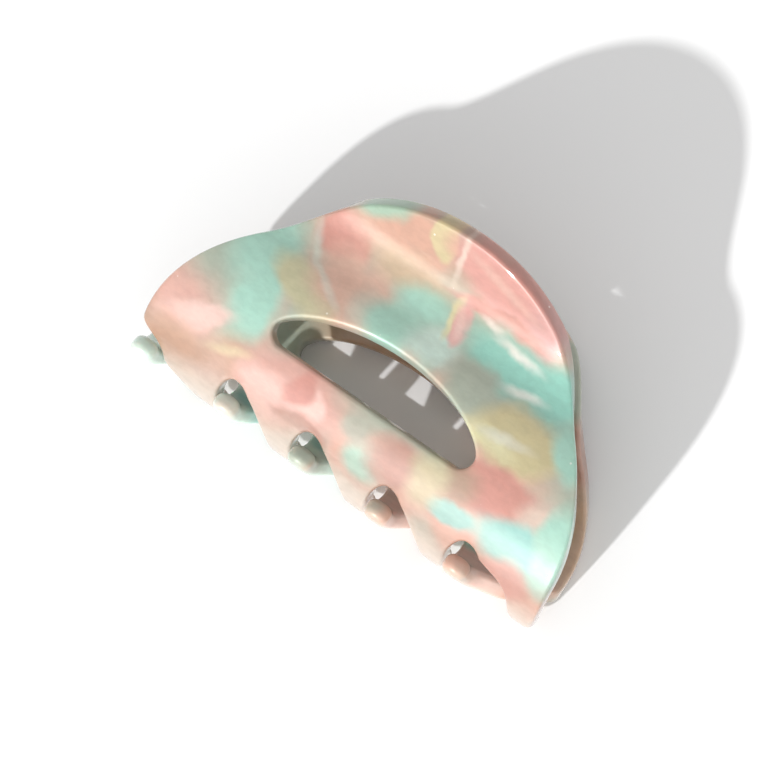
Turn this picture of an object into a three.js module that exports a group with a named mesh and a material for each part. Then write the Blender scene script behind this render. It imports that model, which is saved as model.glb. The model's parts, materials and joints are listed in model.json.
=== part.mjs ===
// Claw clip: two bent acetate jaws with interlacing teeth, hinged on a sprung steel pin.
// Units are millimetres. The clip lies on its back jaw: X runs along the hinge pin,
// Y from the teeth to the finger tabs, Z up. The origin is on the surface it lies on,
// below the middle of the clip.

import * as THREE from 'three';

// ---- driving dimensions -------------------------------------------------------------

// Sheet and bends. A jaw is cut from flat sheet, then bent about lines parallel to the pin.
const SHEET = 3.5;
const WAIST_GAP = 8.7;                       // from the pin's axis to the outer face at the waist
const TAB_LENGTH = 7.7;                      // straight part of the finger tab
const BENDS = [                              // in order from the tab to the teeth, angles in degrees
  { radius: 10.6, from: 46, to: -25 },       // waist
  { radius: 25.4, from: -25, to: 36 },       // belly
  { radius: 15.5, from: 36, to: 70 },        // teeth
  { radius: 9, from: 70, to: 120 },          // tips, hooked in past the middle
];

// Outline of the flat sheet: x across, s down from the tab's edge to the teeth.
const HALF_LENGTH = 44;
const WIDEST_AT = 46.6;
const SHOULDER = { x: 28.9, s: 15.8, slope: 50.6, above: 10.7, below: 11.6 };
const CROWN_HANDLE = 14.2;
const SIDE_HANDLE = 13.4;

// D-shaped cutout: a low dome over a straight lower edge with rounded corners.
const CUTOUT = { halfWidth: 21.4, top: 25.9, bottom: 37.3, corner: 2.8, sideHandle: 3.0, topHandle: 11.8 };

// Teeth. Every tooth leans towards +x, so the turned-round back jaw's teeth fall in the gaps.
const TEETH = 5;
const PITCH = 16.8;
const ROOT_AT = 47.5;
const ROOT_OFFSET = -5.9;                    // root to the left of a tooth, from the tooth's station
const TIP = { x: 5.5, s: 62.5, radius: 2.4 };
const END_TOOTH_SHIFT = 2.0;                 // the last tooth stands a little further out

// Hinge
const PIN_RADIUS = 1.2;
const PIN_BORE = 1.5;
const PIN_HALF_LENGTH = 14.2;
const HEAD = { radius: 2.3, thickness: 1.2 };
const CAP = { radius: 2.3, length: 2.4, wall: 0.8 };
const LUG = { radius: 3.3, width: 3.3, halfFoot: 3.6 };
const LUG_OUTER_END = 12.6;
const LUG_INNER_END = 9.0;
const GAP = 0.3;                             // between neighbouring pieces
const GLUE = 0.1;                            // between a lug's foot and the sheet

// Torsion spring
const WIRE = 0.45;
const COIL = { radius: 2.7, pitch: 1.08, turns: 7 };
const LEG_END = { h: 9.4, w: 6.9 };
const LEG_FOOT = 4.0;

// Opening angle of the front jaw that the hinge allows, in degrees, kept free by the spring.
const OPENING = 65;

// ---- materials ----------------------------------------------------------------------

const acetate = (color) => new THREE.MeshStandardMaterial({ color, roughness: 0.18, metalness: 0.0 });
const steel = () => new THREE.MeshStandardMaterial({ color: 0xc4c7ca, roughness: 0.3, metalness: 1.0 });

// ---- bent sheet ---------------------------------------------------------------------
// In the clip's own frame x runs along the pin, h from the teeth to the tabs and w across the
// jaws. An angle is measured from -h, turning towards -w.

const radians = THREE.MathUtils.degToRad;

function bendStations() {
  const stations = [];
  const start = radians(BENDS[0].from);
  let h = 0;
  let w = 0;
  stations.push({ s: 0, h, w, angle: start, curvature: 0 });
  h -= TAB_LENGTH * Math.cos(start);
  w -= TAB_LENGTH * Math.sin(start);
  let s = TAB_LENGTH;
  for (const bend of BENDS) {
    const from = radians(bend.from);
    const to = radians(bend.to);
    const curvature = Math.sign(to - from) / bend.radius;
    stations.push({ s, h, w, angle: from, curvature });
    h += (Math.sin(from) - Math.sin(to)) / curvature;
    w += (Math.cos(to) - Math.cos(from)) / curvature;
    s += Math.abs(to - from) * bend.radius;
  }
  return stations;
}

const STATIONS = bendStations();

// Point of the outer face at s, before the waist is brought to its place.
function unplaced(s) {
  const station = STATIONS.findLast((candidate) => candidate.s <= s) ?? STATIONS[0];
  const along = s - station.s;
  const angle = station.angle + along * station.curvature;
  if (station.curvature === 0) {
    return {
      h: station.h - along * Math.cos(angle),
      w: station.w - along * Math.sin(angle),
      angle,
    };
  }
  return {
    h: station.h + (Math.sin(station.angle) - Math.sin(angle)) / station.curvature,
    w: station.w + (Math.cos(angle) - Math.cos(station.angle)) / station.curvature,
    angle,
  };
}

const WAIST_AT = TAB_LENGTH + radians(BENDS[0].from) * BENDS[0].radius;
const waist = unplaced(WAIST_AT);

// Point of the bent sheet, depth measured in from the outer face.
function bent(x, s, depth = 0) {
  const place = unplaced(s);
  return new THREE.Vector3(
    x,
    place.h - waist.h + depth * Math.sin(place.angle),
    place.w - waist.w + WAIST_GAP - depth * Math.cos(place.angle),
  );
}

// ---- outline of the flat sheet ------------------------------------------------------
// The outline is kept as chains that only ever run down the sheet, one for each side.

const point = (x, s) => new THREE.Vector2(x, s);
const CURVE_POINTS = 80;

function chain(...curves) {
  const path = new THREE.CurvePath();
  curves.forEach((curve) => path.add(curve));
  const points = path.getPoints(CURVE_POINTS);
  if (points[0].y > points.at(-1).y) {
    points.reverse();
  }
  return points;
}

const mirrored = (points) => points.map((p) => point(-p.x, p.y));
const bezier = (...corners) => new THREE.CubicBezierCurve(...corners.map(([x, s]) => point(x, s)));

function domeSide() {
  const { x, s, slope, above, below } = SHOULDER;
  const across = Math.cos(radians(slope));
  const down = Math.sin(radians(slope));
  return chain(
    bezier([0, 0], [CROWN_HANDLE, 0], [x - above * across, s - above * down], [x, s]),
    bezier([x, s], [x + below * across, s + below * down],
      [HALF_LENGTH, WIDEST_AT - SIDE_HANDLE], [HALF_LENGTH, WIDEST_AT]),
  );
}

function cutoutSide() {
  const { halfWidth, top, bottom, corner, sideHandle, topHandle } = CUTOUT;
  const cornerTop = bottom - corner;
  return chain(
    bezier([0, top], [topHandle, top], [halfWidth, cornerTop - sideHandle], [halfWidth, cornerTop]),
    bezier([halfWidth, cornerTop], [halfWidth, cornerTop + corner * 0.55],
      [halfWidth - corner * 0.45, bottom], [halfWidth - corner, bottom]),
  );
}

// A tooth's two sides, from its roots to the end of its rounded tip.
function toothSides(index) {
  const last = index === TEETH - 1;
  const station = (index - (TEETH - 1) / 2) * PITCH;
  const shift = last ? END_TOOTH_SHIFT : 0;
  const at = (x, s) => [station + x, s];
  const { radius } = TIP;
  const tip = TIP.x + shift;
  const left = tip - radius;
  const right = tip + radius;
  const round = radius * 0.55;
  const root = ROOT_OFFSET;
  const leftSide = index === 0
    ? [bezier([-HALF_LENGTH, WIDEST_AT], [-HALF_LENGTH, 49.4], at(-4.8, 48.2), at(-4.0, 53.4)),
      bezier(at(-4.0, 53.4), at(-3.2, 56.0), at(left, TIP.s - 5.6), at(left, TIP.s))]
    : [bezier(at(root, ROOT_AT), at(root + 1.5, ROOT_AT), at(-3.6, 48.4), at(-2.8, 49.2)),
      bezier(at(-2.8, 49.2), at(-0.4 + 1.6 * shift, 51.2), at(left, 54.4 - 2 * shift), at(left, TIP.s))];
  const rightSide = last
    ? [bezier([HALF_LENGTH, WIDEST_AT], [HALF_LENGTH, 51.5], at(right + 0.6, 54), at(right, TIP.s))]
    : [bezier(at(root + PITCH, ROOT_AT), at(9.2, ROOT_AT), at(right + 0.2, 50.6), at(right, 54)),
      new THREE.LineCurve(point(...at(right, 54)), point(...at(right, TIP.s)))];
  const tipEnd = TIP.s + radius;
  return [
    chain(
      ...leftSide,
      bezier(at(left, TIP.s), at(left, TIP.s + round), at(tip - round, tipEnd), at(tip, tipEnd)),
    ),
    chain(
      ...rightSide,
      bezier(at(right, TIP.s), at(right, TIP.s + round), at(tip + round, tipEnd), at(tip, tipEnd)),
    ),
  ];
}

function jawChains() {
  const dome = domeSide();
  const cutout = cutoutSide();
  const teeth = Array.from({ length: TEETH }, (_, index) => toothSides(index)).flat();
  return [dome, mirrored(dome), cutout, mirrored(cutout), ...teeth];
}

// Cross rows of the sheet, close together where the outline turns sharply.
function sheetRows() {
  const end = TIP.s + TIP.radius;
  const turns = [
    [0, 1], [CUTOUT.top, 1], [CUTOUT.bottom, -1], [ROOT_AT, 1], [end, -1],
  ];
  const rows = [WIDEST_AT, TAB_LENGTH];
  for (const [turn, direction] of turns) {
    for (const step of [0, 0.12, 0.45, 1.0, 1.8]) {
      rows.push(turn + direction * step);
    }
  }
  const spacing = 1.45;
  for (let s = spacing; s < end; s += spacing) {
    if (rows.every((row) => Math.abs(row - s) > 0.5 * spacing)) {
      rows.push(s);
    }
  }
  return rows.sort((a, b) => a - b);
}

function xOnChain(points, s) {
  const next = points.findIndex((p) => p.y >= s - 1e-9);
  const b = points[next === -1 ? points.length - 1 : Math.max(next, 1)];
  const a = points[next === -1 ? points.length - 2 : Math.max(next, 1) - 1];
  const share = b.y === a.y ? 1 : THREE.MathUtils.clamp((s - a.y) / (b.y - a.y), 0, 1);
  return a.x + (b.x - a.x) * share;
}

// Triangles of the flat sheet: between two rows it is one or more strips with straight sides.
function flatSheet(chains, rows) {
  const vertices = [];
  const byPlace = new Map();
  const byRow = rows.map(() => []);
  const vertex = (row, x) => {
    const key = `${row} ${x.toFixed(4)}`;
    if (!byPlace.has(key)) {
      byPlace.set(key, vertices.length);
      byRow[row].push(vertices.length);
      vertices.push({ x, s: rows[row] });
    }
    return byPlace.get(key);
  };
  const strips = [];
  for (let row = 0; row + 1 < rows.length; row += 1) {
    const middle = (rows[row] + rows[row + 1]) / 2;
    const sides = chains
      .filter((points) => points[0].y < middle && points.at(-1).y > middle)
      .map((points) => ({ middle: xOnChain(points, middle), points }))
      .sort((a, b) => a.middle - b.middle)
      .map(({ points }) => [row, row + 1].map((at) => vertex(at, xOnChain(points, rows[at]))));
    for (let side = 0; side < sides.length; side += 2) {
      strips.push({ row, left: sides[side], right: sides[side + 1] });
    }
  }
  const between = (row, left, right) => byRow[row]
    .filter((v) => vertices[v].x >= vertices[left].x && vertices[v].x <= vertices[right].x)
    .sort((a, b) => vertices[a].x - vertices[b].x);
  const triangles = [];
  for (const { row, left, right } of strips) {
    const top = between(row, left[0], right[0]);
    const bottom = between(row + 1, left[1], right[1]);
    let i = 0;
    let j = 0;
    while (i + 1 < top.length || j + 1 < bottom.length) {
      const topNext = i + 1 < top.length ? vertices[top[i + 1]].x : Infinity;
      const bottomNext = j + 1 < bottom.length ? vertices[bottom[j + 1]].x : Infinity;
      if (topNext <= bottomNext) {
        triangles.push([top[i], top[i + 1], bottom[j]]);
        i += 1;
      } else {
        triangles.push([top[i], bottom[j + 1], bottom[j]]);
        j += 1;
      }
    }
  }
  return { vertices, triangles };
}

// The bent plate: its two faces, and a wall along every edge that only one triangle has.
function jawGeometry() {
  const { vertices, triangles } = flatSheet(jawChains(), sheetRows());
  const count = vertices.length;
  const positions = [0, SHEET].flatMap((depth) => (
    vertices.flatMap(({ x, s }) => bent(x, s, depth).toArray())
  ));
  const index = [];
  const edges = new Set();
  for (const [a, b, c] of triangles) {
    index.push(a, c, b);
    index.push(a + count, b + count, c + count);
    edges.add(`${a} ${c}`).add(`${c} ${b}`).add(`${b} ${a}`);
  }
  for (const edge of edges) {
    const [from, to] = edge.split(' ').map(Number);
    if (!edges.has(`${to} ${from}`)) {
      index.push(to, from, from + count);
      index.push(to, from + count, to + count);
    }
  }
  const geometry = new THREE.BufferGeometry();
  geometry.setAttribute('position', new THREE.Float32BufferAttribute(positions, 3));
  geometry.setIndex(index);
  geometry.computeVertexNormals();
  return geometry;
}

// ---- hinge --------------------------------------------------------------------------

const ring = (radius, count) => Array.from({ length: count }, (_, k) => {
  const angle = (2 * Math.PI * k) / count;
  return point(radius * Math.cos(angle), radius * Math.sin(angle));
});

// A lug stands on the sheet's inner face and goes round the pin.
function lugGeometry() {
  const shape = new THREE.Shape();
  const foot = [];
  const rows = 8;
  for (let row = 0; row <= rows; row += 1) {
    const s = WAIST_AT + LUG.halfFoot * (1 - (2 * row) / rows);
    const place = bent(0, s, SHEET + GLUE);
    foot.push(point(place.y, place.z));
  }
  const firstTouch = radians(160);
  shape.setFromPoints(foot);
  shape.absarc(0, 0, LUG.radius, Math.PI - firstTouch, firstTouch, true);
  shape.holes.push(new THREE.Path(ring(PIN_BORE, 24)));
  const extrusion = { depth: LUG.width, bevelEnabled: false, curveSegments: 12 };
  const geometry = new THREE.ExtrudeGeometry(shape, extrusion);
  // The shape's x and y become h and w, and its depth runs along the pin.
  geometry.applyMatrix4(new THREE.Matrix4().makeBasis(
    new THREE.Vector3(0, 1, 0), new THREE.Vector3(0, 0, 1), new THREE.Vector3(1, 0, 0),
  ));
  return geometry;
}

// Round pieces are turned about the pin's axis: profile points are (radius, x).
function turned(profile) {
  const geometry = new THREE.LatheGeometry(profile.map(([r, x]) => point(r, x)), 24);
  geometry.rotateZ(-Math.PI / 2);
  return geometry;
}

function pinGeometry() {
  const tip = PIN_HALF_LENGTH;
  const back = -PIN_HALF_LENGTH;
  return turned([
    [0, back - HEAD.thickness], [HEAD.radius - 0.4, back - HEAD.thickness],
    [HEAD.radius, back - HEAD.thickness + 0.4], [HEAD.radius, back],
    [PIN_RADIUS, back], [PIN_RADIUS, tip - 0.3], [PIN_RADIUS - 0.3, tip], [0, tip],
  ]);
}

function capGeometry() {
  const inner = PIN_RADIUS + GAP;
  const mouth = LUG_OUTER_END + GAP;
  const floor = PIN_HALF_LENGTH + GAP;
  const end = mouth + CAP.length + CAP.wall;
  return turned([
    [inner, mouth], [CAP.radius, mouth], [CAP.radius, end - 0.6], [CAP.radius - 0.6, end],
    [0, end], [0, floor], [inner, floor], [inner, mouth],
  ]);
}

// Spring wire. The coil winds from the back leg to the front one, its angle falling as x grows.
const legAngle = Math.atan2(LEG_END.w, LEG_END.h);
const legReach = Math.hypot(LEG_END.w, LEG_END.h);
const LEG_TANGENT = legAngle + Math.acos(COIL.radius / legReach);
const COIL_SWEEP = 2 * Math.PI * COIL.turns + 2 * (Math.PI - LEG_TANGENT);
const COIL_START = -(COIL.pitch * (COIL_SWEEP + 2 * Math.PI)) / (4 * Math.PI);

function onCoil(sweep, shift = 0) {
  const angle = -LEG_TANGENT - sweep;
  return new THREE.Vector3(
    COIL_START + shift + (COIL.pitch * sweep) / (2 * Math.PI),
    COIL.radius * Math.cos(angle),
    COIL.radius * Math.sin(angle),
  );
}

function wireGeometry(points, steps) {
  const section = new THREE.Shape(ring(WIRE, 8));
  const path = new THREE.CatmullRomCurve3(points, false, 'centripetal');
  const extrusion = { steps, extrudePath: path, curveSegments: 8, bevelEnabled: false };
  return new THREE.ExtrudeGeometry(section, extrusion);
}

function coilGeometry() {
  const slack = radians(50);
  const perTurn = 16;
  const points = [];
  const start = onCoil(0);
  points.push(new THREE.Vector3(start.x + LEG_FOOT, LEG_END.h, -LEG_END.w));
  points.push(new THREE.Vector3(start.x + 0.8, LEG_END.h, -LEG_END.w));
  points.push(new THREE.Vector3(start.x, LEG_END.h - 0.8, -LEG_END.w + 0.45));
  const last = COIL_SWEEP - slack;
  const count = Math.round((last / (2 * Math.PI)) * perTurn);
  for (let k = 0; k <= count; k += 1) {
    points.push(onCoil((last * k) / count));
  }
  return wireGeometry(points, 190);
}

function frontLegGeometry() {
  const arc = radians(OPENING + 50);
  const points = [];
  const count = 8;
  for (let k = 0; k <= count; k += 1) {
    points.push(onCoil(COIL_SWEEP - arc * (1 - k / count), COIL.pitch));
  }
  const end = points.at(-1);
  points.push(new THREE.Vector3(end.x, LEG_END.h - 0.8, LEG_END.w - 0.45));
  points.push(new THREE.Vector3(end.x - 0.8, LEG_END.h, LEG_END.w));
  points.push(new THREE.Vector3(end.x - LEG_FOOT, LEG_END.h, LEG_END.w));
  return wireGeometry(points, 40);
}

// ---- assembly -----------------------------------------------------------------------

function mesh(name, geometry, material) {
  const made = new THREE.Mesh(geometry, material);
  made.name = name;
  return made;
}

// One jaw with its two lugs. The back one is the front one turned round about the h axis.
function jawWithLugs(side, color) {
  const group = new THREE.Group();
  group.add(mesh(`${side}_jaw`, jawGeometry(), acetate(color)));
  const outer = mesh(`${side}_lug_outer`, lugGeometry(), acetate(color));
  outer.position.x = -LUG_OUTER_END;
  const inner = mesh(`${side}_lug_inner`, lugGeometry(), acetate(color));
  inner.position.x = LUG_INNER_END - LUG.width;
  group.add(outer, inner);
  return group;
}

// The clip lies on the edge of the back tab and on the back belly.
function restingLean() {
  const edge = bent(0, 0);
  let lean = Infinity;
  for (let s = WAIST_AT; s < ROOT_AT; s += 0.05) {
    const belly = bent(0, s);
    lean = Math.min(lean, Math.atan2(edge.z - belly.z, edge.y - belly.y));
  }
  return lean;
}

const clip = new THREE.Group();
const front = jawWithLugs('front', 0xe0a9a0);
const back = jawWithLugs('back', 0x9ccfc0);
back.rotation.y = Math.PI;
clip.add(front, back);
clip.add(mesh('hinge_pin', pinGeometry(), steel()));
clip.add(mesh('pin_cap', capGeometry(), steel()));
clip.add(mesh('spring_coil', coilGeometry(), steel()));
clip.add(mesh('spring_front_leg', frontLegGeometry(), steel()));

const lean = restingLean();
clip.rotation.x = lean;

// Set it down on z = 0 with its middle over the origin.
const part = new THREE.Group();
part.add(clip);
part.updateMatrixWorld(true);
const box = new THREE.Box3().setFromObject(part, true);
const centre = box.getCenter(new THREE.Vector3());
clip.position.set(-centre.x, -centre.y, -box.min.z);
part.updateMatrixWorld(true);

export default part;
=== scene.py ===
"""Looks of the claw clip: two bent acetate jaws on a sprung pin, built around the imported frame.

Lengths are in millimetres until they are handed to Blender, which gets metres in the frame's axes.
In a jaw's own sheet, x runs along the pin and s runs from the finger tab's edge down to the teeth.
In the clip's own frame, h runs from the teeth to the tabs and w runs across the jaws.
"""

import json
import math

import bmesh
import bpy
import numpy as np
from mathutils import Matrix, Vector
from mathutils.geometry import delaunay_2d_cdt


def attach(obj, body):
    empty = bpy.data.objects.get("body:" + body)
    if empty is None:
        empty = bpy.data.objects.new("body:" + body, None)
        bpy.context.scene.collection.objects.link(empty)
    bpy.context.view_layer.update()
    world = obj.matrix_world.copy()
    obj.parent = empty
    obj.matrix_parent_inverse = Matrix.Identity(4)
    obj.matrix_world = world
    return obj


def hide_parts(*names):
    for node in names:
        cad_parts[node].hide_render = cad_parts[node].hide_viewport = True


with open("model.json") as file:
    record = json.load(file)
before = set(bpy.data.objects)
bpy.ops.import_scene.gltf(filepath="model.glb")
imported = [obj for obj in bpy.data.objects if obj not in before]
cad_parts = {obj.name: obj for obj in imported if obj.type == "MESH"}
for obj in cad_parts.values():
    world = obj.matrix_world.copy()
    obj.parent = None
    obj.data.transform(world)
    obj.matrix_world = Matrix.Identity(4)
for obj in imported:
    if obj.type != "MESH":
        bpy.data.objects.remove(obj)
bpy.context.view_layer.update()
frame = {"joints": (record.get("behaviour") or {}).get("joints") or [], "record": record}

MM = 0.001

# ---- the sheet and its bends, as in the design ----------------------------------------

SHEET = 3.5
WAIST_GAP = 8.7
TAB_LENGTH = 7.7
# Radius, angle from and angle to of each bend.
BENDS = [(10.6, 46, -25), (25.4, -25, 36), (15.5, 36, 70), (9.0, 70, 120)]

HALF_LENGTH = 44.0
WIDEST_AT = 46.6
SHOULDER = {"x": 28.9, "s": 15.8, "slope": 50.6, "above": 10.7, "below": 11.6}
CROWN_HANDLE = 14.2
SIDE_HANDLE = 13.4
CUTOUT = {"half_width": 21.4, "top": 25.9, "bottom": 37.3, "corner": 2.8, "side": 3.0, "crown": 11.8}

TEETH = 5
PITCH = 16.8
ROOT_AT = 47.5
ROOT_OFFSET = -5.9
TIP = {"x": 5.5, "s": 62.5, "radius": 2.4}
END_TOOTH_SHIFT = 2.0

# Polished edges: the rounding of the sheet's edge on the body and on the teeth.
EDGE_ROUNDING = 0.65
TOOTH_ROUNDING = 1.3
ROUNDING_FROM = 52.0
ROUNDING_TO = 61.0
EDGE_STEPS = 6
EDGE_SPACING = 0.5
FACE_SPACING = 1.0

# ---- hinge ----------------------------------------------------------------------------

PIN_RADIUS = 1.2
PIN_HALF_LENGTH = 14.2
HEAD = {"radius": 2.3, "thickness": 1.2}
CAP = {"radius": 2.3, "mouth": 12.9, "end": 16.1}
LUG = {"radius": 3.3, "width": 3.3, "half_foot": 3.6, "bore": 1.3}
LUG_STARTS = {"outer": -12.6, "inner": 5.7}
GLUE = 0.1
WIRE = 0.45
COIL = {"radius": 2.7, "pitch": 1.08, "turns": 7}
LEG_END = {"h": 9.4, "w": 6.9}
LEG_FOOT = 4.0

BACK_BODY = "back_half"
FRONT_BODY = "front_half"


# ---- places ---------------------------------------------------------------------------

def clip_frame():
    """The clip's own frame in the model's: its origin on the hinge's axis and its lean about x."""
    joint = next(joint for joint in frame["joints"] if joint["name"] == "jaw_hinge")
    pads = {mount["name"]: mount["axis"] for mount in frame["record"]["mounts"]}
    front, back = pads["front_finger_pad"], pads["back_finger_pad"]
    # The two pads face the same way either side of the clip's middle plane.
    lean = math.atan2(-(front[2] + back[2]), -(front[1] + back[1]))
    place = Vector(joint["pos_m"]) / MM
    return Matrix.Translation(place) @ Matrix.Rotation(lean, 4, "X")


CLIP = clip_frame()


def to_model(points, back=False):
    """Clip-frame points (x, h, w) in millimetres to model points in metres; the back half is turned."""
    points = np.array(points, dtype=float)
    if back:
        points = points * np.array([-1.0, 1.0, -1.0])
    turn = np.array(CLIP.to_3x3())
    return (points @ turn.T + np.array(CLIP.translation)) * MM


def bend_stations():
    """Where each bend of the sheet starts: s, h, w, angle and curvature."""
    angle = math.radians(BENDS[0][1])
    stations = [[0.0, 0.0, 0.0, angle, 0.0]]
    s = TAB_LENGTH
    h = -TAB_LENGTH * math.cos(angle)
    w = -TAB_LENGTH * math.sin(angle)
    for radius, start, end in BENDS:
        start, end = math.radians(start), math.radians(end)
        curvature = math.copysign(1.0 / radius, end - start)
        stations.append([s, h, w, start, curvature])
        h += (math.sin(start) - math.sin(end)) / curvature
        w += (math.cos(end) - math.cos(start)) / curvature
        s += abs(end - start) * radius
    return np.array(stations)


STATIONS = bend_stations()
WAIST_AT = TAB_LENGTH + math.radians(BENDS[0][1]) * BENDS[0][0]


def outer_face(s):
    """h, w and angle of the sheet's outer face at s, before the waist is brought to its place."""
    s = np.asarray(s, dtype=float)
    row = np.clip(np.searchsorted(STATIONS[:, 0], s, side="right") - 1, 0, len(STATIONS) - 1)
    start, h0, w0, angle0, curvature = STATIONS[row].T
    along = s - start
    angle = angle0 + along * curvature
    straight = curvature == 0
    safe = np.where(straight, 1.0, curvature)
    h = np.where(straight, h0 - along * np.cos(angle), h0 + (np.sin(angle0) - np.sin(angle)) / safe)
    w = np.where(straight, w0 - along * np.sin(angle), w0 + (np.cos(angle) - np.cos(angle0)) / safe)
    return h, w, angle


WAIST_H, WAIST_W, _ = outer_face(WAIST_AT)


def bent(x, s, depth):
    """Clip-frame points of the bent sheet, depth measured in from its outer face."""
    h, w, angle = outer_face(s)
    h = h - WAIST_H + depth * np.sin(angle)
    w = w - WAIST_W + WAIST_GAP - depth * np.cos(angle)
    return np.stack([np.broadcast_to(x, h.shape), h, w], axis=-1)


# ---- outline of the flat sheet --------------------------------------------------------

def bezier(*corners, points=60):
    t = np.linspace(0.0, 1.0, points)[:, None]
    a, b, c, d = (np.array(corner, dtype=float) for corner in corners)
    return (1 - t) ** 3 * a + 3 * (1 - t) ** 2 * t * b + 3 * (1 - t) * t ** 2 * c + t ** 3 * d


def joined(*curves):
    return np.concatenate([curves[0]] + [curve[1:] for curve in curves[1:]])


def dome_side():
    """From the middle of the tab's edge down to the widest place."""
    x, s = SHOULDER["x"], SHOULDER["s"]
    slope = math.radians(SHOULDER["slope"])
    across, down = math.cos(slope), math.sin(slope)
    above, below = SHOULDER["above"], SHOULDER["below"]
    return joined(
        bezier((0, 0), (CROWN_HANDLE, 0), (x - above * across, s - above * down), (x, s)),
        bezier((x, s), (x + below * across, s + below * down),
               (HALF_LENGTH, WIDEST_AT - SIDE_HANDLE), (HALF_LENGTH, WIDEST_AT)),
    )


def cutout_side():
    """From the cutout's crown round its lower corner to the middle of its straight edge."""
    half, top, bottom = CUTOUT["half_width"], CUTOUT["top"], CUTOUT["bottom"]
    corner = CUTOUT["corner"]
    turn = bottom - corner
    return joined(
        bezier((0, top), (CUTOUT["crown"], top), (half, turn - CUTOUT["side"]), (half, turn)),
        bezier((half, turn), (half, turn + corner * 0.55),
               (half - corner * 0.45, bottom), (half - corner, bottom)),
        np.array([(half - corner, bottom), (0.0, bottom)]),
    )


def tooth_sides(index):
    """The left and right sides of one tooth, each from its root down to the end of its tip."""
    last = index == TEETH - 1
    station = (index - (TEETH - 1) / 2) * PITCH
    shift = END_TOOTH_SHIFT if last else 0.0
    radius = TIP["radius"]
    tip, tip_s = TIP["x"] + shift, TIP["s"]
    left, right = tip - radius, tip + radius
    round_off = radius * 0.55
    end = tip_s + radius

    def at(x, s):
        return (station + x, s)

    if index == 0:
        left_side = joined(
            bezier((-HALF_LENGTH, WIDEST_AT), (-HALF_LENGTH, 49.8), at(-5.2, 49.0), at(-4.2, 53.4)),
            bezier(at(-4.2, 53.4), at(-3.4, 56.0), at(left, tip_s - 5.6), at(left, tip_s)),
        )
    else:
        left_side = joined(
            bezier(at(ROOT_OFFSET, ROOT_AT), at(ROOT_OFFSET + 1.5, ROOT_AT),
                   at(-3.6, 48.4), at(-2.8, 49.2)),
            bezier(at(-2.8, 49.2), at(-0.4 + 1.6 * shift, 51.2),
                   at(left, 54.4 - 2 * shift), at(left, tip_s)),
        )
    if last:
        right_side = bezier((HALF_LENGTH, WIDEST_AT), (HALF_LENGTH, 51.5),
                            at(right + 0.6, 54), at(right, tip_s))
    else:
        root = ROOT_OFFSET + PITCH
        right_side = joined(
            bezier(at(root, ROOT_AT), at(9.2, ROOT_AT), at(right + 0.2, 50.6), at(right, 54)),
            np.array([at(right, 54), at(right, tip_s)]),
        )
    left_tip = bezier(at(left, tip_s), at(left, tip_s + round_off),
                      at(tip - round_off, end), at(tip, end))
    right_tip = bezier(at(right, tip_s), at(right, tip_s + round_off),
                       at(tip + round_off, end), at(tip, end))
    return joined(left_side, left_tip), joined(right_side, right_tip)


def outline_loops():
    """The sheet's outer contour and its cutout as closed loops, each evenly spaced."""
    dome = dome_side()
    contour = [dome]
    for index in reversed(range(TEETH)):
        left, right = tooth_sides(index)
        contour.append(joined(right, left[::-1]))
    contour.append(dome[::-1] * (-1, 1))
    cutout = cutout_side()
    hole = joined(cutout, cutout[::-1] * (-1, 1))
    return [evenly(joined(*contour), EDGE_SPACING), evenly(hole, EDGE_SPACING)]


def evenly(loop, spacing):
    """A closed loop resampled at an even spacing, without its repeated last point."""
    steps = np.linalg.norm(np.diff(loop, axis=0), axis=1)
    keep = np.concatenate([[True], steps > 1e-6])
    loop = loop[keep]
    length = np.concatenate([[0.0], np.cumsum(np.linalg.norm(np.diff(loop, axis=0), axis=1))])
    count = int(round(length[-1] / spacing))
    wanted = np.arange(count) * length[-1] / count
    return np.stack([np.interp(wanted, length, loop[:, axis]) for axis in (0, 1)], axis=1)


def inside(points, loop):
    """Which points lie inside a closed loop."""
    x, y = points[:, :1], points[:, 1:]
    a, b = loop, np.roll(loop, -1, axis=0)
    crosses = (a[:, 1] > y) != (b[:, 1] > y)
    rise = np.where(b[:, 1] == a[:, 1], 1e-12, b[:, 1] - a[:, 1])
    at_x = a[:, 0] + (y - a[:, 1]) * (b[:, 0] - a[:, 0]) / rise
    return (crosses & (x < at_x)).sum(axis=1) % 2 == 1


def inward(loop, solid_inside):
    """Unit normals of a loop that point into the sheet."""
    along = np.roll(loop, -1, axis=0) - np.roll(loop, 1, axis=0)
    along /= np.linalg.norm(along, axis=1, keepdims=True)
    normal = np.stack([-along[:, 1], along[:, 0]], axis=1)
    area = 0.5 * np.sum(loop[:, 0] * np.roll(loop[:, 1], -1) - np.roll(loop[:, 0], -1) * loop[:, 1])
    return normal * (1 if (area > 0) == solid_inside else -1)


# ---- jaw mesh -------------------------------------------------------------------------

def edge_rounding(s):
    """Radius of the polished edge at s: fuller on the teeth, which are tumbled round."""
    share = np.clip((s - ROUNDING_FROM) / (ROUNDING_TO - ROUNDING_FROM), 0, 1)
    share = share * share * (3 - 2 * share)
    return EDGE_ROUNDING + (TOOTH_ROUNDING - EDGE_ROUNDING) * share


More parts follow.
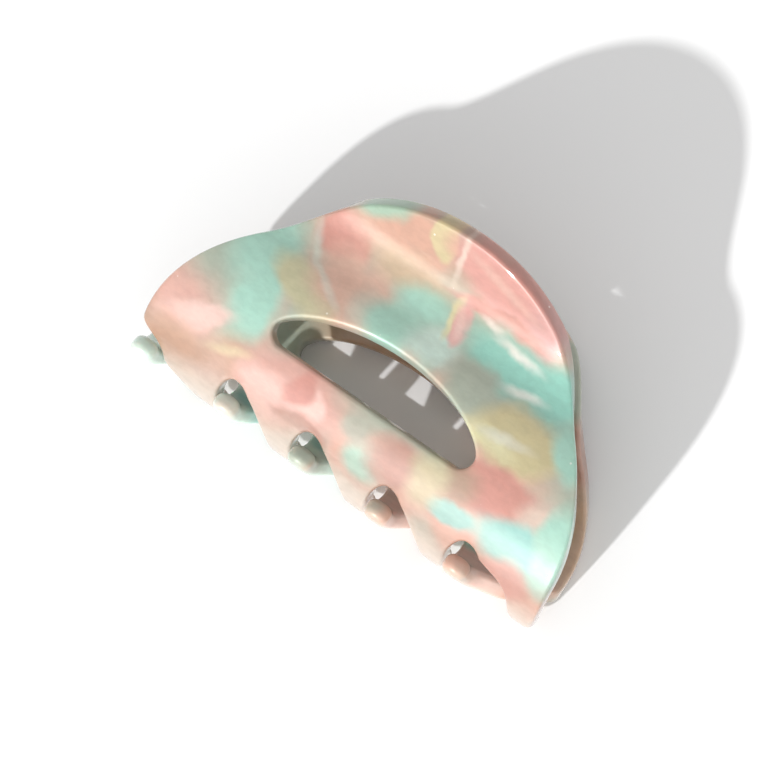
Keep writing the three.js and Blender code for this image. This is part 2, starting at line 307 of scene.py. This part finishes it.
def jaw_mesh(name, back):
    """A jaw: two smooth faces joined by rounded edges, built flat and then bent."""
    loops = outline_loops()
    turns = np.linspace(0.0, math.pi / 2, EDGE_STEPS)
    flat_points = []
    faces = []
    ring_starts = []
    for loop, solid_inside in zip(loops, (True, False)):
        normal = inward(loop, solid_inside)
        rounding = edge_rounding(loop[:, 1])
        rings = [(1 - np.sin(turn), 1 - np.cos(turn), False) for turn in turns]
        rings += [(1 - np.sin(turn), 1 - np.cos(turn), True) for turn in turns[::-1]]
        starts = []
        for inset, sunk, far_side in rings:
            starts.append(len(flat_points))
            place = loop + normal * (rounding * inset)[:, None]
            depth = rounding * sunk
            depth = SHEET - depth if far_side else depth
            flat_points.extend(np.column_stack([place, depth]))
        ring_starts.append(starts)
        count = len(loop)
        area = np.sum(loop[:, 0] * np.roll(loop[:, 1], -1) - np.roll(loop[:, 0], -1) * loop[:, 1])
        flip = area < 0
        for here, there in zip(starts, starts[1:]):
            for k in range(count):
                after = (k + 1) % count
                quad = (here + k, there + k, there + after, here + after)
                faces.append(quad[::-1] if flip else quad)
    # The two faces, triangulated between the innermost rings with a grid of points.
    near = []
    for starts, loop in zip(ring_starts, loops):
        near.append(np.array(flat_points[starts[0]:starts[0] + len(loop)])[:, :2])
    grid = face_grid(near)
    corners = np.concatenate(near + [grid])
    edges = []
    offset = 0
    for loop in near:
        edges += [(offset + k, offset + (k + 1) % len(loop)) for k in range(len(loop))]
        offset += len(loop)
    found = delaunay_2d_cdt([Vector(p) for p in corners], edges, [], 0, 1e-6)
    places = np.array([tuple(v) for v in found[0]])
    triangles = np.array(found[2])
    centre = places[triangles].mean(axis=1)
    triangles = triangles[inside(centre, near[0]) & ~inside(centre, near[1])]
    source = [group[0] if group else -1 for group in found[3]]
    first_grid = len(flat_points)
    flat_points.extend((x, s, 0.0) for x, s in grid)
    flat_points.extend((x, s, SHEET) for x, s in grid)
    for far_side in (False, True):
        index = []
        for starts, loop in zip(ring_starts, near):
            start = starts[-1] if far_side else starts[0]
            index += list(range(start, start + len(loop)))
        start = first_grid + (len(grid) if far_side else 0)
        index += list(range(start, start + len(grid)))
        for triangle in triangles:
            face = tuple(index[source[v]] for v in triangle)
            faces.append(face if far_side else face[::-1])
    flat = np.array([tuple(p) for p in flat_points])
    points = bent(flat[:, 0], flat[:, 1], flat[:, 2])
    return mesh_object(name, to_model(points, back), faces)


def face_grid(near):
    """Points of a triangular grid inside the sheet, clear of its edge rings."""
    low = near[0].min(axis=0)
    high = near[0].max(axis=0)
    rows = np.arange(low[1], high[1], FACE_SPACING * math.sqrt(3) / 2)
    points = []
    for k, s in enumerate(rows):
        shift = 0.5 * FACE_SPACING * (k % 2)
        points += [(x, s) for x in np.arange(low[0] + shift, high[0], FACE_SPACING)]
    points = np.array(points)
    points = points[inside(points, near[0]) & ~inside(points, near[1])]
    edge = np.concatenate(near)
    clear = [np.min(np.hypot(*(edge - point).T)) > 0.6 * FACE_SPACING for point in points]
    return points[np.array(clear)]


def mesh_object(name, points, faces, smooth=True):
    mesh = bpy.data.meshes.new(name)
    mesh.from_pydata([tuple(p) for p in points], [], faces)
    mesh.validate()
    shell = bmesh.new()
    shell.from_mesh(mesh)
    bmesh.ops.recalc_face_normals(shell, faces=shell.faces)
    shell.to_mesh(mesh)
    shell.free()
    mesh.polygons.foreach_set("use_smooth", [smooth] * len(mesh.polygons))
    mesh.update()
    made = bpy.data.objects.new(name, mesh)
    bpy.context.collection.objects.link(made)
    return made


# ---- hinge meshes ---------------------------------------------------------------------

def turned(name, profile, back=False, sides=64):
    """A round piece about the pin's axis from profile points (x, radius), closed at both ends."""
    points = [(profile[0][0], 0.0, 0.0), (profile[-1][0], 0.0, 0.0)]
    ring = [(math.cos(2 * math.pi * k / sides), math.sin(2 * math.pi * k / sides)) for k in range(sides)]
    rows = profile[1:-1]
    for x, radius in rows:
        points += [(x, radius * c, radius * d) for c, d in ring]
    faces = []
    for k in range(sides):
        after = (k + 1) % sides
        faces.append((0, 2 + after, 2 + k))
        for row in range(len(rows) - 1):
            here, there = 2 + row * sides, 2 + (row + 1) * sides
            faces.append((here + k, here + after, there + after, there + k))
        end = 2 + (len(rows) - 1) * sides
        faces.append((1, end + k, end + after))
    made = mesh_object(name, to_model(points, back), faces)
    return made


def rounded_end(x, radius, rounding, direction, steps=6):
    """Profile points of a rounded shoulder, from the end face out to the full radius."""
    points = []
    for k in range(steps + 1):
        turn = math.pi / 2 * k / steps
        points.append((x - direction * rounding * (1 - math.cos(turn)),
                       radius - rounding * (1 - math.sin(turn))))
    return points


def pin_mesh():
    head_end = -PIN_HALF_LENGTH - HEAD["thickness"]
    shoulder = -PIN_HALF_LENGTH
    profile = [(head_end, 0.0)]
    profile += rounded_end(head_end, HEAD["radius"], 0.45, -1)
    profile += [(shoulder - 0.15, HEAD["radius"]), (shoulder, HEAD["radius"] - 0.15)]
    profile.append((shoulder, PIN_RADIUS))
    profile += rounded_end(PIN_HALF_LENGTH, PIN_RADIUS, 0.3, 1)[::-1]
    profile.append((PIN_HALF_LENGTH, 0.0))
    return turned("pin_visual", profile)


def cap_mesh():
    profile = [(CAP["mouth"], 0.0), (CAP["mouth"], CAP["radius"] - 0.2)]
    profile.append((CAP["mouth"] + 0.2, CAP["radius"]))
    profile += rounded_end(CAP["end"], CAP["radius"], 0.8, 1)[::-1]
    profile.append((CAP["end"], 0.0))
    return turned("cap_visual", profile)


def lug_mesh(name, start, back):
    """A lug: a foot on the sheet's inner face, sides that close on a ring round the pin."""
    rows = np.linspace(WAIST_AT + LUG["half_foot"], WAIST_AT - LUG["half_foot"], 13)
    foot = bent(np.zeros(13), rows, SHEET + GLUE)[:, 1:]
    touch = math.radians(20)
    turns = np.linspace(touch, touch - math.radians(220), 37)
    ring = LUG["radius"] * np.stack([np.cos(turns), np.sin(turns)], axis=1)
    sides = np.concatenate([foot, ring])
    sides = evenly(np.concatenate([sides, sides[:1]]), 0.45)
    count = len(sides)
    bore = []
    for place in sides:
        bore.append(LUG["bore"] * place / np.linalg.norm(place))
    bore = np.array(bore)
    normal = inward(sides, True)
    rounding = 0.45
    layers = []
    steps = 5
    for end, direction in ((start, 1), (start + LUG["width"], -1)):
        turns = np.linspace(0, math.pi / 2, steps)
        turns = turns if direction == 1 else turns[::-1]
        for turn in turns:
            inset = rounding * (1 - math.sin(turn))
            x = end + direction * rounding * (1 - math.cos(turn))
            layers.append(np.column_stack([np.full(count, x), sides + normal * inset]))
    points = [np.column_stack([np.full(count, start), bore])] + layers
    points += [np.column_stack([np.full(count, start + LUG["width"]), bore])]
    rings = len(points)
    faces = []
    for ring_index in range(rings):
        here = ring_index * count
        there = ((ring_index + 1) % rings) * count
        for k in range(count):
            after = (k + 1) % count
            faces.append((here + k, there + k, there + after, here + after))
    made = mesh_object(name, to_model(np.concatenate(points), back), faces)
    return made


def on_coil(sweep, shift=0.0):
    """Place on the spring's helix; sweep is the angle wound from the back leg."""
    angle = -LEG_TANGENT - sweep
    x = COIL_START + shift + COIL["pitch"] * sweep / (2 * math.pi)
    return (x, COIL["radius"] * math.cos(angle), COIL["radius"] * math.sin(angle))


LEG_TANGENT = math.atan2(LEG_END["w"], LEG_END["h"]) + math.acos(
    COIL["radius"] / math.hypot(LEG_END["w"], LEG_END["h"]))
COIL_SWEEP = 2 * math.pi * COIL["turns"] + 2 * (math.pi - LEG_TANGENT)
COIL_START = -COIL["pitch"] * (COIL_SWEEP + 2 * math.pi) / (4 * math.pi)


def leg_points(place, side, direction):
    """From the coil along the tab to a foot bent along the pin."""
    x, h, w = place
    end_h, end_w = LEG_END["h"], side * LEG_END["w"]
    points = [(x, h + (end_h - h) * share, w + (end_w - w) * share) for share in np.linspace(0, 0.92, 14)]
    for turn in np.linspace(0.25, 1.0, 6) * math.pi / 2:
        points.append((x + direction * 0.9 * (1 - math.cos(turn)),
                       end_h - 0.7 * (1 - math.sin(turn)), end_w - side * 0.3 * (1 - math.sin(turn))))
    points += [(x + direction * reach, end_h, end_w) for reach in np.linspace(1.2, LEG_FOOT, 8)]
    return points


def coil_points():
    slack = math.radians(50)
    sweeps = np.linspace(0, COIL_SWEEP - slack, COIL["turns"] * 40)
    coil = [on_coil(sweep) for sweep in sweeps]
    return leg_points(on_coil(0), -1, 1)[::-1] + coil[1:]


def front_leg_points():
    arc = math.radians(115)
    coil = [on_coil(COIL_SWEEP - arc * (1 - k / 16), COIL["pitch"]) for k in range(17)]
    return coil[:-1] + leg_points(coil[-1], 1, -1)


def wire_mesh(name, points, sides=14):
    """Round wire along a path, with domed ends."""
    path = np.array(points)
    along = np.gradient(path, axis=0)
    along /= np.linalg.norm(along, axis=1, keepdims=True)
    side = np.cross(along[0], (0.31, 0.52, 0.79))
    rings = []
    stations = []
    for k, (place, direction) in enumerate(zip(path, along)):
        side = side - direction * np.dot(side, direction)
        side /= np.linalg.norm(side)
        stations.append((place, side.copy(), np.cross(direction, side), WIRE))
    first, last = stations[0], stations[-1]
    domed = []
    for turn in np.linspace(0.15, 0.8, 3) * math.pi / 2:
        domed.append((first[0] - along[0] * WIRE * math.cos(turn),
                      first[1], first[2], WIRE * math.sin(turn)))
    end = [(last[0] + along[-1] * WIRE * math.cos(turn), last[1], last[2], WIRE * math.sin(turn))
           for turn in np.linspace(0.8, 0.15, 3) * math.pi / 2]
    for place, a, b, radius in domed + stations + end:
        for k in range(sides):
            turn = 2 * math.pi * k / sides
            rings.append(place + radius * (math.cos(turn) * a + math.sin(turn) * b))
    count = len(rings) // sides
    faces = []
    for ring in range(count - 1):
        for k in range(sides):
            after = (k + 1) % sides
            here, there = ring * sides, (ring + 1) * sides
            faces.append((here + k, here + after, there + after, there + k))
    faces.append(tuple(reversed(range(sides))))
    faces.append(tuple(range((count - 1) * sides, count * sides)))
    return mesh_object(name, to_model(np.array(rings)), faces)


# ---- materials ------------------------------------------------------------------------

# Colours of the acetate under even light.
TONES = {
    "pink": (0.66, 0.36, 0.33), "salmon": (0.58, 0.35, 0.29), "rose": (0.54, 0.26, 0.21),
    "rose light": (0.62, 0.37, 0.36), "rose tan": (0.44, 0.26, 0.20), "pink tan": (0.40, 0.28, 0.20),
    "pink beige": (0.62, 0.40, 0.31), "pale pink": (0.60, 0.47, 0.39), "pearl pink": (0.72, 0.52, 0.46),
    "blush": (0.54, 0.50, 0.41), "tan": (0.50, 0.34, 0.23), "cream": (0.66, 0.66, 0.58),
    "butter": (0.62, 0.58, 0.36), "honey": (0.54, 0.47, 0.27),
    "olive": (0.50, 0.47, 0.30), "olive beige": (0.54, 0.42, 0.29), "sage": (0.38, 0.42, 0.34),
    "mint": (0.36, 0.58, 0.48), "pale mint": (0.56, 0.70, 0.62), "teal": (0.27, 0.54, 0.45),
    "teal mint": (0.26, 0.52, 0.47), "white": (0.82, 0.78, 0.72),
}

# Clouds of colour, placed on the sheet, the later over the earlier:
# x, s, half sizes across and down, turn in degrees, softness of the edge, tone.
FRONT_CLOUDS = [
    (-36, 31, 8, 6, 0, 0.6, "sage"), (-31, 24, 6, 9, -35, 0.5, "mint"),
    (-27, 35, 5, 9, 10, 0.35, "mint"), (-39, 41, 8, 7, 0, 0.6, "salmon"),
    # The pale pearl-pink cloud on the left lobe is lighter pearl with a painted sheen highlight.
    (-34, 41, 4.5, 2.5, -35, 0.4, "pearl pink"), (-36, 49, 9, 5, 10, 0.5, "tan"),
    (-25, 46, 6, 6, 0, 0.5, "tan"), (-26, 53, 6, 6, 0, 0.5, "pale pink"),
    (-21.5, 25.5, 7.5, 3.4, 20, 0.35, "olive"), (-21, 14, 5.5, 4.5, 20, 0.3, "rose"),
    (-16, 21, 6, 5, 30, 0.5, "pink beige"), (-12, 8, 9, 4, -10, 0.5, "pink beige"),
    (-9, 23, 4, 4, 0, 0.6, "blush"), (-7, 12.5, 8, 3, 0, 0.6, "olive beige"),
    (-16, 3, 6, 3, -35, 0.5, "mint"), (-3.5, 3, 3.2, 4.5, 0, 0.15, "butter"),
    (9, 5, 11, 5.5, 12, 0.3, "pink"), (19, 8, 5, 4, 30, 0.5, "rose light"),
    (11, 11, 10, 1.5, 0, 0.3, "rose"), (-2, 16, 5, 3, 0, 0.6, "mint"), (-4, 22, 5, 4.5, 0, 0.5, "mint"),
    (4, 22, 5, 3.5, 0, 0.5, "pale mint"), (3.4, 15.5, 1.2, 4, -8, 0.4, "butter"),
    (5.3, 16, 1.8, 4.2, -12, 0.3, "pink"), (17, 17, 10, 5, 8, 0.35, "teal"),
    (27, 16, 5, 5, 40, 0.4, "teal"), (13, 23, 4, 4, 20, 0.4, "sage"),
    (26, 27, 9, 5.5, -12, 0.3, "honey"), (21, 30, 5, 2, 0, 0.5, "butter"),
    (34, 24, 3, 6, -35, 0.4, "mint"), (28, 37, 9, 4.8, 0, 0.25, "rose"),
    (21, 40, 4, 4, 0, 0.5, "pink tan"), (37, 37, 4, 3.5, 0, 0.6, "pale pink"),
    (36, 43, 9, 4, 0, 0.35, "teal mint"), (41, 40, 3, 8, -8, 0.4, "mint"),
    (23, 44.5, 4.5, 2.2, 0, 0.35, "teal mint"), (-12, 42, 11, 7, 0, 0.4, "salmon"),
    # The pale pearl-pink clouds on the lower band are lighter pearl with painted sheen where the sun's
    # highlight falls.
    (-17, 46, 5.5, 4, 0, 0.5, "pearl pink"), (-7.5, 42, 2.4, 3.2, -20, 0.4, "pearl pink"),
    (-11, 41.5, 2.5, 4, 10, 0.35, "rose"), (-8, 47.5, 5.5, 1.6, 0, 0.3, "rose tan"),
    (1.5, 40.5, 3, 3.5, 0, 0.5, "sage"), (5, 46, 3.5, 3, 0, 0.5, "mint"),
    (10, 43, 4.5, 4.5, 10, 0.4, "rose tan"), (16.5, 42, 4, 4.5, 0, 0.5, "olive"),
    (0, 57, 52, 7, 0, 0.5, "cream"), (36, 49.5, 5, 3.5, 0, 0.4, "salmon"),
]
BACK_CLOUDS = [
    (22, 33, 9, 8, 0, 0.5, "sage"), (8, 27, 14, 5, 5, 0.5, "tan"), (-27, 14, 6, 6, 0, 0.5, "sage"),
    (-33, 22, 7, 7, 40, 0.5, "rose tan"), (-41, 37, 6, 9, 0, 0.5, "tan"),
    (-28, 53, 7, 7, 0, 0.4, "pearl pink"), (-28, 48, 5, 3, 0, 0.5, "mint"),
    (-10.5, 54, 6, 6, 0, 0.4, "pearl pink"), (7, 54, 7, 7, 0, 0.5, "pale mint"),
    (4.5, 51, 4, 3, 0, 0.5, "teal mint"), (23, 57, 7, 7, 0, 0.5, "pale mint"),
    (21, 52.5, 4, 3, 0, 0.5, "teal mint"), (40, 59, 6, 7, 0, 0.5, "pale mint"),
]

# Broad places of painted shade, where the colour is darkened to hold back the sun's stronger light on the
# teeth and near the finger tab's edge: x, s, half sizes across and down, tint.
PAINTED_SHADE = [(0, 52, 60, 13, (0.74, 0.62, 0.59)), (4, 3, 32, 11, (0.76, 0.66, 0.60))]

# Bright folds of pearl, painted partly as sheen: lighter pearl in the sheet with a painted highlight where
# its facets catch the light, as runs of places on the sheet: half width, share, tone, places.
FRONT_SHEEN_STREAKS = [
    (1.5, 0.7, "pearl pink", [(-39, 42), (-31, 38.5)]), (0.9, 0.7, "butter", [(-29, 44), (-23.5, 42)]),
    (0.7, 0.35, "pale mint", [(-26, 14.5), (-23, 20), (-15, 25.5)]),
    (0.6, 0.7, "white", [(0.3, 0), (0.3, 8)]), (0.8, 0.6, "pearl pink", [(3, 3), (15, 7)]),
    (0.6, 0.7, "white", [(8.7, 12.4), (12, 13)]), (0.8, 0.8, "white", [(13.5, 14.2), (20.5, 15)]),
    (0.9, 0.7, "white", [(19, 20.2), (24, 19.5)]), (0.9, 0.6, "cream", [(20, 29), (27, 28)]),
    (0.8, 0.7, "pearl pink", [(4.2, 13.5), (5.8, 18)]),
    (0.8, 0.7, "pearl pink", [(-12.5, 45.8), (-8.5, 44)]),
]


class Nodes:
    """Short calls for building a material's nodes."""

    def __init__(self, name):
        self.material = bpy.data.materials.new(name)
        self.material.use_nodes = True
        self.tree = self.material.node_tree
        self.shader = self.tree.nodes["Principled BSDF"]

    def add(self, kind, **inputs):
        node = self.tree.nodes.new(kind)
        for key, value in inputs.items():
            setattr(node, key, value)
        return node

    def feed(self, node, socket, value):
        target = node.inputs[socket]
        if isinstance(value, bpy.types.NodeSocket):
            self.tree.links.new(value, target)
        else:
            target.default_value = value

    def math(self, operation, *values):
        node = self.add("ShaderNodeMath", operation=operation)
        for k, value in enumerate(values):
            self.feed(node, k, value)
        return node.outputs[0]

    def vector(self, operation, *values):
        node = self.add("ShaderNodeVectorMath", operation=operation)
        for k, value in enumerate(values):
            self.feed(node, k, value)
        return node

    def scaled(self, vector, factor):
        node = self.add("ShaderNodeVectorMath", operation="SCALE")
        self.feed(node, 0, vector)
        self.feed(node, "Scale", factor)
        return node.outputs[0]

    def mix(self, factor, a, b, blend="MIX"):
        node = self.add("ShaderNodeMix", data_type="RGBA", blend_type=blend)
        self.feed(node, 0, factor)
        self.feed(node, 6, a if isinstance(a, bpy.types.NodeSocket) else (*a, 1.0))
        self.feed(node, 7, b if isinstance(b, bpy.types.NodeSocket) else (*b, 1.0))
        return node.outputs[2]

    def ramp(self, value, low, high, to_low=0.0, to_high=1.0):
        node = self.add("ShaderNodeMapRange", interpolation_type="SMOOTHSTEP")
        for k, entry in enumerate((value, low, high, to_low, to_high)):
            self.feed(node, k, entry)
        return node.outputs[0]

    def noise(self, vector, scale, detail=2.0, roughness=0.5):
        node = self.add("ShaderNodeTexNoise")
        self.feed(node, "Vector", vector)
        self.feed(node, "Scale", scale)
        self.feed(node, "Detail", detail)
        self.feed(node, "Roughness", roughness)
        return node

    def centred_noise(self, vector, scale, detail):
        """Three noises about zero, for moving a place about."""
        colour = self.noise(vector, scale, detail=detail).outputs["Color"]
        return self.vector("SUBTRACT", colour, (0.5, 0.5, 0.5)).outputs[0]

    def voronoi(self, vector, scale):
        node = self.add("ShaderNodeTexVoronoi", feature="F1")
        self.feed(node, "Vector", vector)
        self.feed(node, "Scale", scale)
        return node

    def bump(self, height, distance, strength=1.0):
        node = self.add("ShaderNodeBump")
        self.feed(node, "Height", height)
        self.feed(node, "Distance", distance)
        self.feed(node, "Strength", strength)
        return node.outputs[0]


# Marbling, in millimetres: how fine the drifts are and how far they move a colour's edge.
WIDE_DRIFT = {"scale": 0.09, "reach": 5.0}
FINE_DRIFT = {"scale": 0.35, "reach": 1.5}
FOLD_DRIFT = 1.4
# Softness of the edge of the pearl folds with painted sheen.
SHEEN_FOLD_SOFTNESS = 0.8
# Softness of the edge of the painted shade.
PAINTED_SHADE_SOFTNESS = 0.35
PATCH_DEPTH = 12.0
FLECK_SPACING = 5


def sheet_axes(x, s, back):
    """A place on the sheet, and the sheet's own directions there, in model millimetres."""
    def place(across, down, depth):
        return Vector(to_model(bent(np.array([across]), np.array([down]), np.array([depth])), back)[0] / MM)

    middle = SHEET / 2
    here = place(x, s, middle)
    across = (place(x + 0.1, s, middle) - here).normalized()
    down = (place(x, s + 0.1, middle) - here).normalized()
    return here, across, down, across.cross(down).normalized()


def patch(n, warped, x, s, wide, tall, turn, softness, back):
    """Share of a soft ellipse that lies on the sheet."""
    here, across, down, normal = sheet_axes(x, s, back)
    turn = math.radians(turn)
    first = across * math.cos(turn) + down * math.sin(turn)
    second = down * math.cos(turn) - across * math.sin(turn)
    mapping = n.add("ShaderNodeMapping", vector_type="TEXTURE")
    n.feed(mapping, "Vector", warped)
    n.feed(mapping, "Location", tuple(here))
    n.feed(mapping, "Rotation", tuple(Matrix((first, second, normal)).transposed().to_euler("XYZ")))
    n.feed(mapping, "Scale", (wide, tall, PATCH_DEPTH))
    distance = n.vector("LENGTH", mapping.outputs[0]).outputs["Value"]
    return n.ramp(distance, 1 + softness, 1 - softness)


def acetate(name, clouds, sheen_streaks, painted_shade, back):
    """Pearlescent marbled acetate: soft clouds of colour, bright folds of pearl with painted sheen, painted
    shade where given, and a polished skin.
    """
    n = Nodes(name)
    coordinates = n.add("ShaderNodeTexCoord").outputs["Object"]
    place = n.scaled(coordinates, 1.0 / MM)
    wide = n.centred_noise(place, WIDE_DRIFT["scale"], 1.0)
    fine = n.centred_noise(place, FINE_DRIFT["scale"], 2.0)
    warped = n.vector("ADD", place, n.scaled(wide, WIDE_DRIFT["reach"])).outputs[0]
    warped = n.vector("ADD", warped, n.scaled(fine, FINE_DRIFT["reach"])).outputs[0]
    nudged = n.vector("ADD", place, n.scaled(fine, FOLD_DRIFT)).outputs[0]

    # Marbling that runs through the whole sheet, where no cloud lies.
    drift = n.noise(warped, 0.07, detail=1.0).outputs["Fac"]
    colour = n.mix(n.ramp(drift, 0.40, 0.60), TONES["sage"], TONES["pink beige"])
    for x, s, across, down, turn, softness, tone in clouds:
        share = patch(n, warped, x, s, across, down, turn, softness, back)
        colour = n.mix(share, colour, TONES[tone])
    # Painted sheen on the pearl folds: lighter pearl with a painted highlight where the facets catch the
    # light.
    for width, strength, tone, places in sheen_streaks:
        for (x0, s0), (x1, s1) in zip(places, places[1:]):
            reach = math.hypot(x1 - x0, s1 - s0) / 2 + width
            turn = math.degrees(math.atan2(s1 - s0, x1 - x0))
            share = patch(n, nudged, (x0 + x1) / 2, (s0 + s1) / 2, reach, width, turn, SHEEN_FOLD_SOFTNESS, back)
            colour = n.mix(n.math("MULTIPLY", share, strength), colour, TONES[tone])

    # Painted shade: the colour is darkened along the teeth and just below the finger tab's edge, where the
    # sun falls strongest.
    for x, s, across, down, tone in painted_shade:
        share = patch(n, place, x, s, across, down, 0, PAINTED_SHADE_SOFTNESS, back)
        colour = n.mix(share, colour, tone, blend="MULTIPLY")

    # Silk inside the sheet, and a few white flecks.
    stretched = n.vector("MULTIPLY", nudged, (0.5, 0.9, 0.9)).outputs[0]
    silk = n.noise(stretched, 0.8, detail=3.0, roughness=0.6).outputs["Fac"]
    shade = n.ramp(silk, 0.30, 0.70, 0.95, 1.05)
    colour = n.vector("MULTIPLY", colour, n.scaled((1.0, 1.0, 1.0), shade)).outputs[0]
    fleck = n.ramp(n.voronoi(place, 1 / FLECK_SPACING).outputs["Distance"], 0.05, 0.03, 0.0, 0.6)
    colour = n.mix(fleck, colour, TONES["white"])
    n.feed(n.shader, "Base Color", colour)
    n.feed(n.shader, "Normal", n.bump(silk, 0.06 * MM, 0.4))
    n.shader.inputs["Metallic"].default_value = 0.08
    n.shader.inputs["Roughness"].default_value = 0.42
    n.shader.inputs["Subsurface Weight"].default_value = 0.6
    n.shader.inputs["Subsurface Radius"].default_value = (1.0, 0.8, 0.7)
    n.shader.inputs["Subsurface Scale"].default_value = 3.0 * MM
    n.shader.inputs["Coat Weight"].default_value = 1.0
    n.shader.inputs["Coat Roughness"].default_value = 0.03
    n.shader.inputs["Coat IOR"].default_value = 1.55
    return n.material


def steel(name):
    """Nickel-plated steel with faint drawn lines."""
    n = Nodes(name)
    coordinates = n.add("ShaderNodeTexCoord").outputs["Object"]
    place = n.scaled(coordinates, 1.0 / MM)
    grain = n.noise(place, 3.0, detail=4.0).outputs["Fac"]
    n.feed(n.shader, "Base Color", n.mix(grain, (0.58, 0.58, 0.57), (0.74, 0.73, 0.71)))
    n.feed(n.shader, "Roughness", n.ramp(grain, 0.3, 0.7, 0.18, 0.34))
    n.feed(n.shader, "Normal", n.bump(grain, 0.02 * MM, 0.3))
    n.shader.inputs["Metallic"].default_value = 1.0
    return n.material


# ---- the clip -------------------------------------------------------------------------

def put(piece, body, node, material):
    piece.data.materials.clear()
    piece.data.materials.append(material)
    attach(piece, body)
    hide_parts(node)


def build_clip():
    front = acetate("front_acetate", FRONT_CLOUDS, FRONT_SHEEN_STREAKS, PAINTED_SHADE, False)
    back = acetate("back_acetate", BACK_CLOUDS, [], [], True)
    metal = steel("steel")
    put(jaw_mesh("front_jaw_visual", False), FRONT_BODY, "front_jaw", front)
    put(jaw_mesh("back_jaw_visual", True), BACK_BODY, "back_jaw", back)
    for place, start in LUG_STARTS.items():
        for side, body, material in (("front", FRONT_BODY, front), ("back", BACK_BODY, back)):
            lug = lug_mesh(f"{side}_lug_{place}_visual", start, side == "back")
            put(lug, body, f"{side}_lug_{place}", material)
    put(pin_mesh(), BACK_BODY, "hinge_pin", metal)
    put(cap_mesh(), BACK_BODY, "pin_cap", metal)
    put(wire_mesh("spring_coil_visual", coil_points()), BACK_BODY, "spring_coil", metal)
    leg = wire_mesh("spring_front_leg_visual", front_leg_points())
    put(leg, FRONT_BODY, "spring_front_leg", metal)


# ---- floor, light and camera ----------------------------------------------------------

FLOOR_SIZE = 6.0
FLOOR_TONE = (0.93, 0.93, 0.93)
SUN_TRAVEL = (0.079, 0.884, -0.460)
SUN_STRENGTH = 3.0
SUN_ANGLE = 1.6
FILL_STRENGTH = 0.62
CARD_STRENGTH = 1.6
# A bright card stands low on the side the sun comes from: its slanting top edge, its far ends.
CARD_EDGES = [
    ((0.918, -0.268, -0.291), -0.012, 0.012),
    ((0.0, -1.0, 0.0), 0.1, 0.5),
    ((0.0, 0.0, -1.0), -0.75, -0.6),
]

CAMERA_PLACE = (88.5, -77.7, 364.1)
CAMERA_RIGHT = (0.8008, 0.5932, -0.0809)
CAMERA_FORWARD = (-0.2395, 0.1936, -0.9514)
CAMERA_LENS = 95.8


def build_floor():
    half = FLOOR_SIZE / 2
    floor = mesh_object("floor", [(-half, -half, 0), (half, -half, 0), (half, half, 0), (-half, half, 0)],
                        [(0, 1, 2, 3)], smooth=False)
    n = Nodes("floor")
    n.shader.inputs["Base Color"].default_value = (*FLOOR_TONE, 1.0)
    n.shader.inputs["Roughness"].default_value = 0.9
    n.shader.inputs["Specular IOR Level"].default_value = 0.0
    floor.data.materials.append(n.material)


def build_light():
    sun = bpy.data.lights.new("sun", "SUN")
    sun.energy = SUN_STRENGTH
    sun.angle = math.radians(SUN_ANGLE)
    made = bpy.data.objects.new("sun", sun)
    made.rotation_mode = "QUATERNION"
    made.rotation_quaternion = Vector(SUN_TRAVEL).to_track_quat("-Z", "Y")
    bpy.context.collection.objects.link(made)
    world = bpy.data.worlds.new("studio")
    world.use_nodes = True
    nodes, links = world.node_tree.nodes, world.node_tree.links
    direction = nodes.new("ShaderNodeTexCoord").outputs["Generated"]
    share = None
    for normal, low, high in CARD_EDGES:
        side = nodes.new("ShaderNodeVectorMath")
        side.operation = "DOT_PRODUCT"
        links.new(direction, side.inputs[0])
        side.inputs[1].default_value = normal
        edge = nodes.new("ShaderNodeMapRange")
        edge.interpolation_type = "SMOOTHSTEP"
        links.new(side.outputs["Value"], edge.inputs[0])
        edge.inputs[1].default_value = low
        edge.inputs[2].default_value = high
        if share is None:
            share = edge.outputs[0]
        else:
            both = nodes.new("ShaderNodeMath")
            both.operation = "MULTIPLY"
            links.new(share, both.inputs[0])
            links.new(edge.outputs[0], both.inputs[1])
            share = both.outputs[0]
    strength = nodes.new("ShaderNodeMapRange")
    links.new(share, strength.inputs[0])
    strength.inputs[3].default_value = FILL_STRENGTH
    strength.inputs[4].default_value = CARD_STRENGTH
    links.new(strength.outputs[0], nodes["Background"].inputs["Strength"])
    nodes["Background"].inputs["Color"].default_value = (1.0, 1.0, 1.0, 1.0)
    bpy.context.scene.world = world


def build_camera():
    data = bpy.data.cameras.new("camera")
    data.sensor_width = 36.0
    data.lens = CAMERA_LENS
    data.clip_start = 0.01
    data.clip_end = 20.0
    camera = bpy.data.objects.new("camera", data)
    forward = Vector(CAMERA_FORWARD).normalized()
    right = Vector(CAMERA_RIGHT)
    right = (right - forward * right.dot(forward)).normalized()
    up = right.cross(forward)
    turn = Matrix((right, up, -forward)).transposed()
    camera.matrix_world = Matrix.Translation(Vector(CAMERA_PLACE) * MM) @ turn.to_4x4()
    bpy.context.collection.objects.link(camera)
    bpy.context.scene.camera = camera


build_clip()
build_floor()
build_light()
build_camera()
bpy.context.scene.view_settings.view_transform = "Standard"
